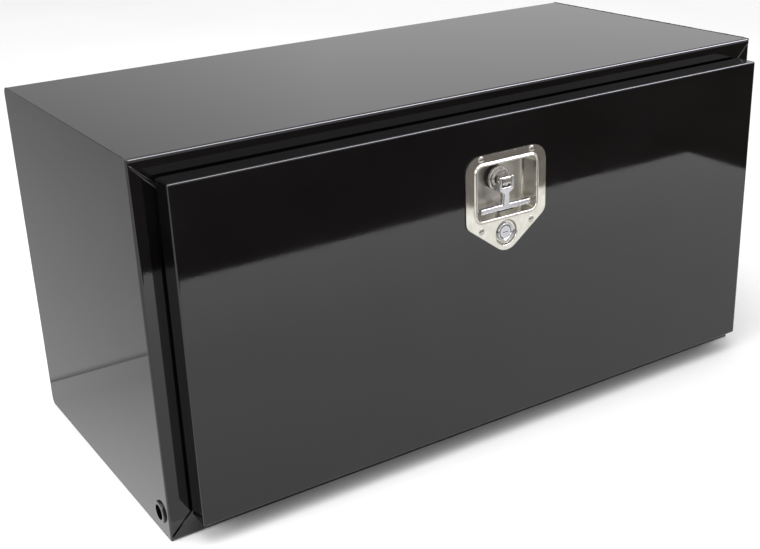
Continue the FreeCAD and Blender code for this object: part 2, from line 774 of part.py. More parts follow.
def make_latch_dish():
    """Pressed stainless plate with the handle well, its raised rim and the round lock recess."""
    body = latch_node("latch_dish")
    pad(body, draw_plate(body, "-sheet.gasket", "0"), "sheet.dish_wall")
    round_plate(body)
    rim = draw_well(front_sketch(body, "-" + PLATE_FRONT), "sheet.well_rim")
    pad(body, rim, "sheet.well_rim_proud")
    block = draw_well(front_sketch(body, "-sheet.gasket"), "sheet.dish_wall")
    pad(body, block, WELL_FLOOR + " + sheet.gasket + sheet.dish_wall", reverse=True)
    hollow = draw_well(front_sketch(body, "-(" + PLATE_FRONT + " + sheet.well_rim_proud)"), "0")
    pocket(body, hollow, "sheet.well_depth + sheet.well_rim_proud")
    recess = front_sketch(body, "-sheet.gasket")
    draw_circle(recess, "0", "sheet.lock_drop", "sheet.lock_recess_radius")
    pad(body, recess, RECESS_FLOOR + " + sheet.gasket + sheet.dish_wall", reverse=True)
    cup = front_sketch(body, "-" + PLATE_FRONT)
    draw_circle(cup, "0", "sheet.lock_drop", "sheet.lock_recess_radius - sheet.dish_wall")
    pocket(body, cup, "sheet.lock_recess_depth")
    lock_hole = front_sketch(body, "-" + PLATE_FRONT)
    draw_circle(lock_hole, "0", "sheet.lock_drop", "sheet.lock_barrel_radius + sheet.hole_gap")
    pocket(body, lock_hole, "sheet.lock_recess_depth + sheet.dish_wall + sheet.overcut")
    rivets = front_sketch(body, "-" + PLATE_FRONT)
    for x, z in latch_rivet_places():
        draw_circle(rivets, x, z, "sheet.rivet_radius")
    pocket(body, rivets, "sheet.dish_wall")
    spindle = front_sketch(body, WELL_FLOOR)
    draw_circle(spindle, "0", "0", "sheet.bushing_barrel_radius + sheet.hole_gap")
    pocket(body, spindle, "sheet.dish_wall + sheet.overcut")
    slot = new_sketch(body, "XY_Plane", "sheet.well_bottom")
    draw_rectangle(
        slot,
        "-(sheet.cam_half_width + sheet.cam_slot_gap)",
        "sheet.cam_slot_reach",
        CAM_FRONT + " - sheet.cam_slot_gap",
        CAM_FRONT + " + sheet.cam + sheet.cam_slot_gap",
    )
    pocket(body, slot, "sheet.dish_wall")


def make_turned(label, profile):
    """A turned piece about the spindle axis; profile is a list of (Y, radius) expressions."""
    body = latch_node(label)
    outline = new_sketch(body, "YZ_Plane")
    draw_polygon(outline, profile)
    revolve(body, outline)
    return body


def make_nut(label, centre_z, behind, flats, bore, length):
    """A plain hexagon nut about an axis along Y at centre_z."""
    body = latch_node(label)
    outline = front_sketch(body, behind)
    draw_hexagon(outline, "0", centre_z, flats)
    draw_circle(outline, "0", centre_z, bore)
    pad(body, outline, length, reverse=True)


def make_bushing():
    """Fixed flanged bushing that carries the latch spindle through the dish."""
    start = "sheet.bushing_front"
    step = start + " + sheet.bushing_flange"
    end = "sheet.bushing_barrel_end"
    bore = "sheet.shaft_radius + sheet.running_gap"
    make_turned("spindle_bushing", [
        (start, bore),
        (start, "sheet.bushing_flange_radius - sheet.bushing_chamfer"),
        (start + " + sheet.bushing_chamfer", "sheet.bushing_flange_radius"),
        (step, "sheet.bushing_flange_radius"),
        (step, "sheet.bushing_barrel_radius"),
        (end, "sheet.bushing_barrel_radius"),
        (end, bore),
    ])
    barrel_hole = "sheet.bushing_barrel_radius + sheet.hole_gap"
    washer_front = step + " + sheet.face_gap"
    washer_back = WELL_FLOOR + " - sheet.face_gap"
    make_turned("spindle_washer", [
        (washer_front, barrel_hole),
        (washer_front, "sheet.washer_radius"),
        (washer_back, "sheet.washer_radius"),
        (washer_back, barrel_hole),
    ])
    make_nut(
        "bushing_nut",
        "0",
        WELL_FLOOR + " + sheet.dish_wall + sheet.face_gap",
        "sheet.bushing_nut_flats",
        barrel_hole,
        "sheet.bushing_nut",
    )


# ---------------------------------------------------------------- spindle and handle


def make_latch_shaft():
    """Spindle: a flat tongue for the handle in front, a square for the pawl and a threaded end."""
    hub_back = "sheet.bushing_front - sheet.hole_gap"
    hub_front = hub_back + " - sheet.shaft_hub"
    body = make_turned("latch_shaft", [
        (hub_front, "0"),
        (hub_front, "sheet.shaft_hub_radius"),
        (hub_back, "sheet.shaft_hub_radius"),
        (hub_back, "sheet.shaft_radius"),
        (PAWL_FRONT, "sheet.shaft_radius"),
        (PAWL_FRONT, "sheet.stud_radius"),
        (PAWL_FRONT + " + sheet.pawl + sheet.stud_length", "sheet.stud_radius"),
        (PAWL_FRONT + " + sheet.pawl + sheet.stud_length", "0"),
    ])
    tongue = new_sketch(body, "YZ_Plane", "-sheet.tongue_half_width")
    tongue_back = hub_front + " + sheet.overlap"
    half_height = "sheet.tongue_half_height"
    draw_rectangle(tongue, "sheet.tongue_front", tongue_back, "-" + half_height, half_height)
    pad(body, tongue, "2 * sheet.tongue_half_width")
    tip = size("tongue_front")
    round_edges(body, "sheet.tongue_round", lambda e: along(e, 0) and near(middle(e).y, tip))
    square = front_sketch(body, PAWL_FRONT)
    half = "sheet.pawl_square / 2"
    draw_rectangle(square, "-" + half, half, "-" + half, half)
    pad(body, square, "sheet.pawl", reverse=True)
    bore = new_sketch(body, "YZ_Plane", "-sheet.tongue_half_width - sheet.overcut")
    draw_circle(bore, "sheet.handle_pin_depth", "0", "sheet.handle_pin_radius + sheet.running_gap")
    pocket(body, bore, "2 * (sheet.tongue_half_width + sheet.overcut)", reverse=True)


def make_pawl():
    """Flat pawl that stands up behind the box's top flange when the latch is closed."""
    body = latch_node("pawl")
    outline = front_sketch(body, PAWL_FRONT)
    draw_polygon(outline, [
        ("-sheet.pawl_half_width", "-sheet.pawl_half_width"),
        ("sheet.pawl_half_width", "-sheet.pawl_half_width"),
        ("sheet.pawl_half_width", "sheet.pawl_reach"),
        ("-sheet.pawl_half_width", "sheet.pawl_reach"),
    ])
    pad(body, outline, "sheet.pawl", reverse=True)
    round_edges(body, "sheet.pawl_round", lambda e: along(e, 1))
    square = front_sketch(body, PAWL_FRONT)
    half = "(sheet.pawl_square / 2 + sheet.face_gap)"
    draw_rectangle(square, "-" + half, half, "-" + half, half)
    pocket(body, square, "sheet.pawl")
    behind = PAWL_FRONT + " + sheet.pawl + sheet.face_gap"
    stud_hole = "sheet.stud_radius + sheet.hole_gap"
    make_turned("pawl_washer", [
        (behind, stud_hole),
        (behind, "sheet.pawl_washer_radius"),
        (behind + " + sheet.pawl_washer", "sheet.pawl_washer_radius"),
        (behind + " + sheet.pawl_washer", stud_hole),
    ])
    make_nut(
        "pawl_nut",
        "0",
        behind + " + sheet.pawl_washer + sheet.face_gap",
        "sheet.pawl_nut_flats",
        stud_hole,
        "sheet.pawl_nut",
    )


def make_t_handle():
    """Folding T-handle: cross bar, stem, fork round the spindle's tongue and a hook for the lock."""
    body = latch_node("t_handle")
    outline = front_sketch(body, "sheet.handle_pin_depth + sheet.handle_half")
    bar_low = "sheet.bar_drop - sheet.bar_half_height"
    bar_high = "sheet.bar_drop + sheet.bar_half_height"
    right_half = [
        ("sheet.bar_half_length", bar_low),
        ("sheet.bar_half_length", bar_high),
        ("sheet.stem_half_width", bar_high),
        ("sheet.stem_half_width", "sheet.fork_shoulder_bottom"),
        ("sheet.fork_half_width", "sheet.fork_shoulder_top"),
        ("sheet.fork_half_width", "sheet.fork_top"),
        ("sheet.fork_half_gap", "sheet.fork_top"),
        ("sheet.fork_half_gap", "sheet.fork_root"),
    ]
    left_half = [("-" + x, z) for x, z in reversed(right_half)]
    draw_polygon(outline, right_half + left_half)
    pad(body, outline, "2 * sheet.handle_half")
    bar_end = size("bar_half_length")
    round_edges(body, "sheet.bar_end_round", lambda e: along(e, 1) and near(abs(middle(e).x), bar_end))
    fork_top = size("fork_top")
    round_edges(body, "sheet.fork_round", lambda e: along(e, 0) and near(middle(e).z, fork_top))
    bore = new_sketch(body, "YZ_Plane", "-sheet.fork_half_width - sheet.overcut")
    draw_circle(bore, "sheet.handle_pin_depth", "0", "sheet.handle_pin_radius")
    pocket(body, bore, "2 * (sheet.fork_half_width + sheet.overcut)", reverse=True)
    hook = new_sketch(body, "YZ_Plane", "-sheet.hook_half_width")
    hook_front = "sheet.hook_back - sheet.hook_wall"
    draw_polygon(hook, [
        ("sheet.handle_pin_depth", "sheet.hook_top"),
        ("sheet.handle_pin_depth", "sheet.hook_under"),
        (hook_front, "sheet.hook_under"),
        (hook_front, "sheet.hook_tip"),
        ("sheet.hook_back", "sheet.hook_tip"),
        ("sheet.hook_back", "sheet.hook_top"),
    ])
    pad(body, hook, "2 * sheet.hook_half_width")


def make_handle_pin():
    body = latch_node("handle_pin")
    profile = new_sketch(body, "YZ_Plane", "-sheet.handle_pin_half")
    draw_circle(profile, "sheet.handle_pin_depth", "0", "sheet.handle_pin_radius")
    pad(body, profile, "2 * sheet.handle_pin_half")
    end = size("handle_pin_half")
    round_edges(body, "sheet.handle_pin_round", lambda e: near(abs(middle(e).x), end))


# ---------------------------------------------------------------- lock


def lock_node(label):
    """A body whose frame is the lock's axis where it crosses the door's face."""
    return new_node(label, DOOR_FACE, "sheet.latch_height + sheet.lock_drop")


def make_lock():
    """Fixed lock case with its nut, and the turning plug with its cam and screw."""
    case = lock_node("lock_case")
    outline = new_sketch(case, "YZ_Plane")
    bore = "sheet.plug_radius + sheet.running_gap"
    face_bore = "sheet.plug_face_radius + sheet.hole_gap"
    flange_front = RECESS_FLOOR + " - sheet.lock_flange"
    draw_polygon(outline, [
        (flange_front, face_bore),
        (flange_front, "sheet.lock_flange_radius"),
        (RECESS_FLOOR, "sheet.lock_flange_radius"),
        (RECESS_FLOOR, "sheet.lock_barrel_radius"),
        (RECESS_FLOOR + " + sheet.lock_barrel", "sheet.lock_barrel_radius"),
        (RECESS_FLOOR + " + sheet.lock_barrel", bore),
        (RECESS_FLOOR, bore),
        (RECESS_FLOOR, face_bore),
    ])
    revolve(case, outline)
    make_nut(
        "lock_nut",
        "sheet.lock_drop",
        RECESS_FLOOR + " + sheet.dish_wall + sheet.face_gap",
        "sheet.lock_nut_flats",
        "sheet.lock_barrel_radius + sheet.hole_gap",
        "sheet.lock_nut",
    )
    plug = lock_node("lock_plug")
    turned = new_sketch(plug, "YZ_Plane")
    plug_front = flange_front + " - sheet.plug_proud"
    face_back = RECESS_FLOOR + " - sheet.hole_gap"
    draw_polygon(turned, [
        (plug_front, "0"),
        (plug_front, "sheet.plug_face_radius"),
        (face_back, "sheet.plug_face_radius"),
        (face_back, "sheet.plug_radius"),
        (CAM_FRONT, "sheet.plug_radius"),
        (CAM_FRONT, "sheet.cam_stud_radius"),
        (CAM_FRONT + " + sheet.cam", "sheet.cam_stud_radius"),
        (CAM_FRONT + " + sheet.cam", "0"),
    ])
    revolve(plug, turned)
    slot = front_sketch(plug, plug_front)
    half, thin = "sheet.key_slot_length / 2", "sheet.key_slot_width / 2"
    draw_rectangle(slot, "-" + half, half, "-" + thin, thin)
    pocket(plug, slot, "sheet.key_slot_depth")
    cam = lock_node("lock_cam")
    flat = front_sketch(cam, CAM_FRONT)
    draw_polygon(flat, [
        ("-sheet.cam_boss_half_length", "-sheet.cam_boss_half_width"),
        ("sheet.cam_boss_half_length", "-sheet.cam_boss_half_width"),
        ("sheet.cam_length", "-sheet.cam_half_width"),
        ("sheet.cam_length", "sheet.cam_half_width"),
        ("sheet.cam_boss_half_length", "sheet.cam_boss_half_width"),
        ("-sheet.cam_boss_half_length", "sheet.cam_boss_half_width"),
    ])
    draw_circle(flat, "0", "0", "sheet.cam_stud_radius + sheet.face_gap")
    pad(cam, flat, "sheet.cam", reverse=True)
    reach = size("cam_length")
    round_edges(cam, "sheet.cam_tip_round", lambda e: along(e, 1) and near(middle(e).x, reach))
    screw = lock_node("cam_screw")
    head = front_sketch(screw, CAM_FRONT + " + sheet.cam + sheet.face_gap")
    draw_circle(head, "0", "0", "sheet.cam_screw_radius")
    pad(screw, head, "sheet.cam_screw_head", reverse=True)
    end = screw.Tip.Shape.BoundBox.YMax
    round_edges(screw, "sheet.cam_screw_round", lambda e: near(middle(e).y, end))


# ---------------------------------------------------------------- build

make_shell_wrap()
for side in (-1, 1):
    make_end_panel(side)
    make_port_collar(side)
make_hinge_leaf_body()
make_hinge_leaf_door()
make_hinge_pin()
make_rivets(
    "hinge_rivets_body",
    (FRONT,),
    [(x, "sheet.hinge_rivet_height") for x in rivet_places()],
    "XZ_Plane",
    "sheet.hinge_leaf",
    "sheet.hinge_leaf + sheet.body_wall",
    head_up=True,
)
make_rivets(
    "hinge_rivets_door",
    (FRONT,),
    door_rivet_places(),
    "XY_Plane",
    "sheet.door_bottom_margin - sheet.hinge_leaf",
    "sheet.hinge_leaf + sheet.door_wall",
    head_up=False,
)
make_door_pan()
make_door_inner_panel()
make_door_seal()
make_latch_gasket()
make_latch_dish()
make_rivets(
    "latch_rivets",
    (DOOR_FACE, "sheet.latch_height"),
    latch_rivet_places(),
    "XZ_Plane",
    PLATE_FRONT,
    PLATE_FRONT + " + sheet.door_wall",
    head_up=True,
)
make_bushing()
make_latch_shaft()
make_pawl()
make_t_handle()
make_handle_pin()
make_lock()

doc.recompute()
for item in doc.Objects:
    if "Invalid" in item.State or "Error" in item.State:
        raise RuntimeError("failed object: " + item.Label)
for body in nodes:
    if body.Shape.isNull() or not body.Shape.isValid():
        raise RuntimeError("bad shape: " + body.Label)

os.makedirs("parts", exist_ok=True)
for body in nodes:
    body.Shape.exportStep("parts/%s.step" % body.Label)
    box = body.Shape.BoundBox
    reach = (box.XMin, box.XMax, box.YMin, box.YMax, box.ZMin, box.ZMax)
    print("%-20s solids %2d volume %10.0f" % (body.Label, len(body.Shape.Solids), body.Shape.Volume))
    print("    x %7.1f %7.1f  y %7.1f %7.1f  z %7.1f %7.1f" % reach)
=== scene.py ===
"""Truck tool box: the looks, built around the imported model."""
import math
import random

import bmesh
import bpy
from mathutils import Matrix, Vector


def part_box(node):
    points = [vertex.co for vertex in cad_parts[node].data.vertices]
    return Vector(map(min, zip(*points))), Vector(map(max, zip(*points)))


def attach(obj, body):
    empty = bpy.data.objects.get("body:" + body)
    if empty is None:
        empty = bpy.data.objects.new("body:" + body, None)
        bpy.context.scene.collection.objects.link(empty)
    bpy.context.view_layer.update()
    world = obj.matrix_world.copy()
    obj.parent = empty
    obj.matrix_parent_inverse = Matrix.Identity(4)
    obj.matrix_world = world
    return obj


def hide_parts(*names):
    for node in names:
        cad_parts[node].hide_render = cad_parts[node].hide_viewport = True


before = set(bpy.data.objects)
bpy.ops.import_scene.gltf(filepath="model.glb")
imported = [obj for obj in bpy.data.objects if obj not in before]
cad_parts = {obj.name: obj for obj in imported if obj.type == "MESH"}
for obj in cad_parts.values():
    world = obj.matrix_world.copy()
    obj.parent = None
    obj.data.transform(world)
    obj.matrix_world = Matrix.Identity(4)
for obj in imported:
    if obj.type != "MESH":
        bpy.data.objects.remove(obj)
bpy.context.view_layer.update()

MM = 0.001
UP = Vector((0.0, 0.0, 1.0))

# ---------------------------------------------------------------------------
# Places taken from the frame
# ---------------------------------------------------------------------------
panel_low, panel_high = (Vector(corner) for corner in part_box("end_panel_left"))
door_low = Vector(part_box("door_pan")[0])

HALF_WIDTH = -panel_low.x
HEIGHT = panel_high.z
FLANGE_Y = panel_low.y
BACK_Y = panel_high.y
DOOR_Y = door_low.y


# ---------------------------------------------------------------------------
# Materials
# ---------------------------------------------------------------------------
class Shader:
    """A node material under construction: one Principled shader and what feeds it."""

    def __init__(self, name):
        self.material = bpy.data.materials.new(name)
        self.material.use_nodes = True
        self.nodes = self.material.node_tree.nodes
        self.links = self.material.node_tree.links
        self.shader = self.nodes["Principled BSDF"]
        self.places = self.nodes.new("ShaderNodeTexCoord").outputs["Object"]

    def set(self, **values):
        for socket, value in values.items():
            self.shader.inputs[socket.replace("_", " ")].default_value = value

    def feed(self, source, socket):
        self.links.new(source, self.shader.inputs[socket])

    def stretched(self, factors):
        mapping = self.nodes.new("ShaderNodeMapping")
        mapping.inputs["Scale"].default_value = factors
        self.links.new(self.places, mapping.inputs["Vector"])
        return mapping.outputs["Vector"]

    def noise(self, grain, detail=2.0, roughness=0.5, places=None):
        """Noise whose blobs are about `grain` metres across."""
        node = self.nodes.new("ShaderNodeTexNoise")
        node.inputs["Scale"].default_value = 1.0 / grain
        node.inputs["Detail"].default_value = detail
        node.inputs["Roughness"].default_value = roughness
        self.links.new(places or self.places, node.inputs["Vector"])
        return node.outputs["Fac"]

    def ramp(self, source, *stops):
        """Colours or greys spread over the source: each stop is (position, value)."""
        node = self.nodes.new("ShaderNodeValToRGB")
        elements = node.color_ramp.elements
        while len(elements) < len(stops):
            elements.new(0.5)
        for element, (position, value) in zip(elements, stops):
            element.position = position
            element.color = (*value, 1.0) if isinstance(value, tuple) else (value, value, value, 1.0)
        self.links.new(source, node.inputs["Fac"])
        return node.outputs["Color"]

    def reach(self, axis, start, end):
        """0 at `start` metres along an axis and 1 at `end`."""
        split = self.nodes.new("ShaderNodeSeparateXYZ")
        self.links.new(self.places, split.inputs["Vector"])
        span = self.nodes.new("ShaderNodeMapRange")
        span.inputs["From Min"].default_value = start
        span.inputs["From Max"].default_value = end
        self.links.new(split.outputs[axis], span.inputs["Value"])
        return span.outputs["Result"]

    def bump(self, height, depth, strength=1.0, below=None):
        """A bump of `depth` metres, on top of another bump where one is given."""
        node = self.nodes.new("ShaderNodeBump")
        node.inputs["Distance"].default_value = depth
        node.inputs["Strength"].default_value = strength
        self.links.new(height, node.inputs["Height"])
        if below:
            self.links.new(below, node.inputs["Normal"])
        return node.outputs["Normal"]


def powder_coat():
    """Glossy black powder coat: orange peel, slow waves in the sheet and a little dust."""
    paint = Shader("black_powder_coat")
    paint.set(IOR=1.58, Metallic=0.0)
    dust = paint.noise(0.09, detail=6.0, roughness=0.6)
    colours = paint.ramp(dust, (0.35, (0.0012, 0.0012, 0.0014)), (0.75, (0.0032, 0.0032, 0.0034)))
    paint.feed(colours, "Base Color")
    sheen = paint.noise(0.035, detail=5.0)
    paint.feed(paint.ramp(sheen, (0.3, 0.03), (0.75, 0.06)), "Roughness")
    waves = paint.bump(paint.noise(0.14, detail=1.0), 0.10 * MM)
    peel = paint.bump(paint.noise(0.0032, detail=2.0), 0.006 * MM, below=waves)
    paint.feed(peel, "Normal")
    return paint.material


def stainless():
    """Polished stainless steel with faint drawing lines and handling marks."""
    steel = Shader("polished_stainless")
    steel.set(Metallic=1.0)
    lines = steel.noise(0.0012, detail=3.0, places=steel.stretched((0.08, 1.0, 1.0)))
    marks = steel.noise(0.012, detail=5.0)
    steel.feed(steel.ramp(marks, (0.3, (0.44, 0.42, 0.38)), (0.7, (0.54, 0.52, 0.48))), "Base Color")
    steel.feed(steel.ramp(lines, (0.2, 0.10), (0.8, 0.22)), "Roughness")
    steel.feed(steel.bump(marks, 0.05 * MM), "Normal")
    return steel.material


def pressed_stainless():
    """The latch plate's sheet: polished in front and duller where it was drawn deep."""
    steel = Shader("pressed_stainless")
    steel.set(Metallic=0.88)
    marks = steel.noise(0.010, detail=5.0)
    steel.feed(steel.ramp(marks, (0.3, (0.56, 0.54, 0.48)), (0.7, (0.64, 0.62, 0.57))), "Base Color")
    depth = steel.reach("Y", DOOR_Y, DOOR_Y + 24.0 * MM)
    steel.feed(steel.ramp(depth, (0.0, 0.06), (0.1, 0.13), (0.8, 0.2), (1.0, 0.32)), "Roughness")
    drawn = steel.noise(0.0016, detail=3.0, places=steel.stretched((1.0, 1.0, 0.12)))
    pressed = steel.bump(steel.noise(0.022, detail=1.0), 0.12 * MM)
    steel.feed(steel.bump(drawn, 0.006 * MM, below=pressed), "Normal")
    return steel.material


def chrome():
    """Bright chromed lock parts, a little hazy."""
    plate = Shader("lock_chrome")
    plate.set(Metallic=1.0)
    haze = plate.noise(0.004, detail=4.0)
    plate.feed(plate.ramp(haze, (0.3, (0.48, 0.48, 0.50)), (0.7, (0.60, 0.60, 0.62))), "Base Color")
    plate.feed(plate.ramp(haze, (0.3, 0.12), (0.7, 0.24)), "Roughness")
    plate.feed(plate.bump(haze, 0.02 * MM), "Normal")
    return plate.material


def zinc():
    """Zinc plated steel with its mottled, slightly yellow and blue passivation."""
    plating = Shader("zinc_steel")
    plating.set(Metallic=1.0)
    mottle = plating.noise(0.006, detail=5.0)
    plating.feed(
        plating.ramp(
            mottle,
            (0.3, (0.42, 0.42, 0.46)),
            (0.5, (0.58, 0.57, 0.55)),
            (0.7, (0.62, 0.58, 0.48)),
        ),
        "Base Color",
    )
    plating.feed(plating.ramp(mottle, (0.3, 0.16), (0.7, 0.30)), "Roughness")
    plating.feed(plating.bump(plating.noise(0.0011, detail=3.0), 0.02 * MM), "Normal")
    return plating.material


def rubber():
    """Black rubber with a fine skin and a grey bloom."""
    skin = Shader("seal_rubber")
    skin.set(Metallic=0.0)
    bloom = skin.noise(0.02, detail=5.0)
    greys = skin.ramp(bloom, (0.3, (0.010, 0.010, 0.011)), (0.8, (0.030, 0.030, 0.032)))
    skin.feed(greys, "Base Color")
    skin.feed(skin.ramp(bloom, (0.3, 0.55), (0.7, 0.75)), "Roughness")
    skin.feed(skin.bump(skin.noise(0.0008, detail=3.0), 0.05 * MM), "Normal")
    return skin.material


FINISHES = {
    "black_powder_coat": powder_coat(),
    "polished_stainless": stainless(),
    "lock_chrome": chrome(),
    "zinc_steel": zinc(),
    "seal_rubber": rubber(),
}


def finish_cad_nodes():
    """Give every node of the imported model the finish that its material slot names."""
    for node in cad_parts.values():
        for place in node.material_slots:
            slot_name = place.material.name.split(".")[0]
            place.material = FINISHES[slot_name]


# ---------------------------------------------------------------------------
# Mesh helpers
# ---------------------------------------------------------------------------
def add_piece(name, mesh, body, finish, stands_for=()):
    """A finished piece: linked, shaded, riding on its body and standing for its CAD nodes."""
    for face in mesh.faces:
        face.smooth = True
    bmesh.ops.recalc_face_normals(mesh, faces=mesh.faces)
    data = bpy.data.meshes.new(name)
    mesh.to_mesh(data)
    mesh.free()
    piece = bpy.data.objects.new(name, data)
    bpy.context.collection.objects.link(piece)
    data.materials.append(finish)
    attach(piece, body)
    if stands_for:
        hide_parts(*stands_for)
    return piece


def soften(piece, width, segments=3, angle=35.0):
    """Rounds the piece's sharp edges and keeps its flat faces flat."""
    bevel = piece.modifiers.new("rounded_edges", "BEVEL")
    bevel.width = width
    bevel.segments = segments
    bevel.limit_method = "ANGLE"
    bevel.angle_limit = math.radians(angle)
    bevel.harden_normals = True
    normals = piece.modifiers.new("flat_faces", "WEIGHTED_NORMAL")
    normals.keep_sharp = True


def loft(mesh, rings):
    """Joins equal rings of points by quads, each ring closed on itself; returns the vertex rings."""
    made = [[mesh.verts.new(point) for point in ring] for ring in rings]
    count = len(made[0])
    for near_ring, far_ring in zip(made, made[1:]):
        for i in range(count):
            j = (i + 1) % count
            mesh.faces.new((near_ring[i], near_ring[j], far_ring[j], far_ring[i]))
    return made


def arc_points(centre, radius, start, end, steps):
    """Points in a plane along an arc, in degrees."""
    across, up = centre
    turns = [math.radians(start + (end - start) * i / steps) for i in range(steps + 1)]
    return [(across + radius * math.cos(turn), up + radius * math.sin(turn)) for turn in turns]


def round_rectangle(half_width, low, high, radius, steps=10):
    """A rectangle with round corners, anticlockwise from its lower right corner."""
    inner, bottom, top = half_width - radius, low + radius, high - radius
    corners = ((inner, bottom, -90), (inner, top, 0), (-inner, top, 90), (-inner, bottom, 180))
    points = []
    for x, z, start in corners:
        points += arc_points((x, z), radius, start, start + 90, steps)
    return points


def round_polygon(corners, radii, steps=12):
    """A convex outline, anticlockwise, with an arc of its own radius at each corner."""
    points = []
    count = len(corners)
    for i, radius in enumerate(radii):
        corner = Vector(corners[i])
        before = (Vector(corners[i - 1]) - corner).normalized()
        after = (Vector(corners[(i + 1) % count]) - corner).normalized()
        half = before.angle(after) / 2
        centre = corner + (before + after).normalized() * (radius / math.sin(half))
        first = corner + before * (radius / math.tan(half)) - centre
        last = corner + after * (radius / math.tan(half)) - centre
        start = math.atan2(first.y, first.x)
        sweep = (math.atan2(last.y, last.x) - start) % (2 * math.pi)
        for step in range(steps + 1):
            turn = start + sweep * step / steps
            points.append((centre.x + radius * math.cos(turn), centre.y + radius * math.sin(turn)))
    return points


def smooth_profile(corners, passes=2):
    """Cuts the corners of a profile once in each pass, so that it turns softly."""
    for _ in range(passes):
        cut = [corners[0]]
        for a, b in zip(corners, corners[1:]):
            cut.append((a[0] * 0.75 + b[0] * 0.25, a[1] * 0.75 + b[1] * 0.25))
            cut.append((a[0] * 0.25 + b[0] * 0.75, a[1] * 0.25 + b[1] * 0.75))
        cut.append(corners[-1])
        corners = cut
    return corners


def turn_profile(mesh, profile, origin, segments=72):
    """A piece turned about an axis along Y through origin; profile holds (depth, radius) in mm."""
    rings = []
    for depth, radius in profile:
        ring = arc_points((origin.x, origin.z), radius * MM, 0, 360 - 360 / segments, segments - 1)
        rings.append([(x, origin.y + depth * MM, z) for x, z in ring])
    made = loft(mesh, rings)
    mesh.faces.new(reversed(made[0]))
    mesh.faces.new(made[-1])


# ---------------------------------------------------------------------------
# Latch: depths are in mm behind the door's face, heights in mm above the spindle axis
# ---------------------------------------------------------------------------
spindle_low, spindle_high = (Vector(corner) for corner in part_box("spindle_bushing"))
lock_low, lock_high = (Vector(corner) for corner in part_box("lock_case"))
LATCH = Vector((0.0, DOOR_Y, (spindle_low.z + spindle_high.z) / 2))
LOCK = Vector((0.0, DOOR_Y, (lock_low.z + lock_high.z) / 2))

PLATE_FRONT = -1.8
PLATE_WALL = 1.2
# The pointed outline, anticlockwise from its lower left corner, and each corner's radius
PLATE_OUTLINE = ((-60.8, -48.5), (0.0, -94.0), (60.8, -48.5), (60.8, 38.0), (-60.8, 38.0))
PLATE_RADII = (14.0, 22.0, 14.0, 21.0, 21.0)
WELL_HALF_WIDTH = 44.8
WELL_LOW = -43.3
WELL_HIGH = 24.3
WELL_RADIUS = 8.0
CAM_SLOT_LEFT = 4.7
CAM_SLOT_RIGHT = 21.5
# The well's section from the plate to its floor: (distance out from the wall, depth)
WELL_SECTION = (
    (4.8, -1.8), (4.3, -1.9), (3.8, -2.4), (3.3, -3.2), (2.8, -3.9),
    (2.1, -4.2), (1.2, -4.2), (0.5, -3.7), (0.1, -2.6), (0.0, -1.2),
    (-0.5, 6.0), (-1.1, 16.5), (-1.6, 19.3), (-2.6, 21.6), (-4.1, 23.1), (-6.0, 23.7), (-7.6, 23.8),
)
LOCK_Z = -66.0
# The lock recess from the plate to the lock's hole: (radius, depth)
RECESS_SECTION = (
    (17.2, -1.8), (16.7, -1.7), (16.3, -1.3), (16.0, -0.5),
    (15.6, 1.2), (14.9, 2.0), (13.2, 2.2), (9.9, 2.2),
)
SPINDLE_HOLE_RADIUS = 12.3
RIVET_X = 38.3
RIVET_HEIGHTS = (-56.8, 33.2)


def at_latch(x, z, depth):
    return (LATCH.x + x * MM, LATCH.y + depth * MM, LATCH.z + z * MM)


def well_ring(out):
    """The well's outline drawn out by some millimetres."""
    return round_rectangle(
        WELL_HALF_WIDTH + out, WELL_LOW - out, WELL_HIGH + out, max(WELL_RADIUS + out, 1.2)
    )


def boundary(mesh, ring):
    """The edges between neighbours of a closed ring of vertices, made where they are missing."""
    pairs = zip(ring, ring[1:] + ring[:1])
    return [mesh.edges.get(pair) or mesh.edges.new(pair) for pair in pairs]


def open_cam_slot(mesh):
    """Opens the slot in the well's lower wall that the lock's cam swings through."""
    cam_low, cam_high = (Vector(corner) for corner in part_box("lock_cam"))
    clearance = 0.7 * MM
    low = Vector((-CAM_SLOT_LEFT * MM, cam_low.y - clearance, LATCH.z + (WELL_LOW - 2.0) * MM))
    high = Vector((CAM_SLOT_RIGHT * MM, cam_high.y + clearance, LATCH.z + (WELL_LOW + 2.0) * MM))
    for axis in (Vector((1.0, 0.0, 0.0)), Vector((0.0, 1.0, 0.0))):
        for corner in (low, high):
            wall = [face for face in mesh.faces if in_lower_wall(face.calc_center_median(), low, high)]
            parts = {part for face in wall for part in (face, *face.edges, *face.verts)}
            bmesh.ops.bisect_plane(mesh, geom=list(parts), plane_co=corner, plane_no=axis)
    gone = []
    for face in mesh.faces:
        centre = face.calc_center_median()
        if all(low[i] < centre[i] < high[i] for i in range(3)):
            gone.append(face)
    bmesh.ops.delete(mesh, geom=gone, context="FACES")


def in_lower_wall(centre, low, high):
    """Whether a face centre lies in the straight middle of the well's lower wall."""
    deep = LATCH.y + 5.0 * MM < centre.y < LATCH.y + 17.0 * MM
    return deep and low.z < centre.z < high.z and abs(centre.x) < 30.0 * MM


